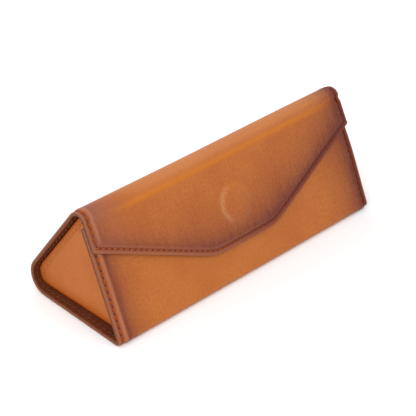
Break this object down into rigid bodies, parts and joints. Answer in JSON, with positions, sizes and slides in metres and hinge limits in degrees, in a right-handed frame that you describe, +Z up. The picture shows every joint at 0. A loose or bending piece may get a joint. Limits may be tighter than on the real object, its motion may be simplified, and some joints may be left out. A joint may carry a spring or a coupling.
{
  "type": "eyeglasses case",
  "caption": "Triangular folding eyeglasses case in tan leather with an envelope flap hinged along the ridge and a folding triangular ear closing each end.",
  "frame": {"origin": "middle of the case at the surface that it stands on", "axes": "+X along the ridge towards the right end as seen from the front, -Y towards the front with the flap, +Z up"},
  "size_m": [0.166, 0.056, 0.0512],
  "materials": {
    "tan_leather": "satin, burnished dark towards the edges",
    "ear_leather": "satin",
    "suede_lining": "matt suede",
    "board": "matt pressed fibreboard",
    "thread": "matt waxed thread",
    "disc_steel": "plated"
  },
  "bodies": {
    "shell": {"wrap_leather": "tan_leather", "wrap_lining": "suede_lining", "front_board": "board", "floor_board": "board", "back_board": "board", "front_keeper_disc": "disc_steel", "front_top_thread": "thread", "left_end_thread": "thread", "right_end_thread": "thread", "ridge_leather": "tan_leather", "ridge_lining": "suede_lining", "left_ear_tab": "ear_leather", "right_ear_tab": "ear_leather"},
    "flap": {"flap_leather": "tan_leather", "flap_lining": "suede_lining", "flap_board": "board", "flap_magnet_disc": "disc_steel", "flap_thread": "thread"},
    "left_ear": {"left_ear_leather": "ear_leather", "left_ear_board": "board", "left_ear_lining": "suede_lining", "left_ear_thread": "thread"},
    "right_ear": {"right_ear_leather": "ear_leather", "right_ear_board": "board", "right_ear_lining": "suede_lining", "right_ear_thread": "thread"}
  },
  "joints": [
    {"name": "flap_hinge", "type": "hinge", "parent": "shell", "child": "flap", "pos_m": [0, 0.0023, 0.05104], "axis": [-1, 0, 0], "range_deg": [0, 210]},
    {"name": "left_ear_fold", "type": "hinge", "parent": "shell", "child": "left_ear", "pos_m": [-0.07635, 0, 0.00355], "axis": [0, 1, 0], "range_deg": [0, 75]},
    {"name": "right_ear_fold", "type": "hinge", "parent": "shell", "child": "right_ear", "pos_m": [0.07635, 0, 0.00355], "axis": [0, -1, 0], "range_deg": [0, 75]}
  ]
}
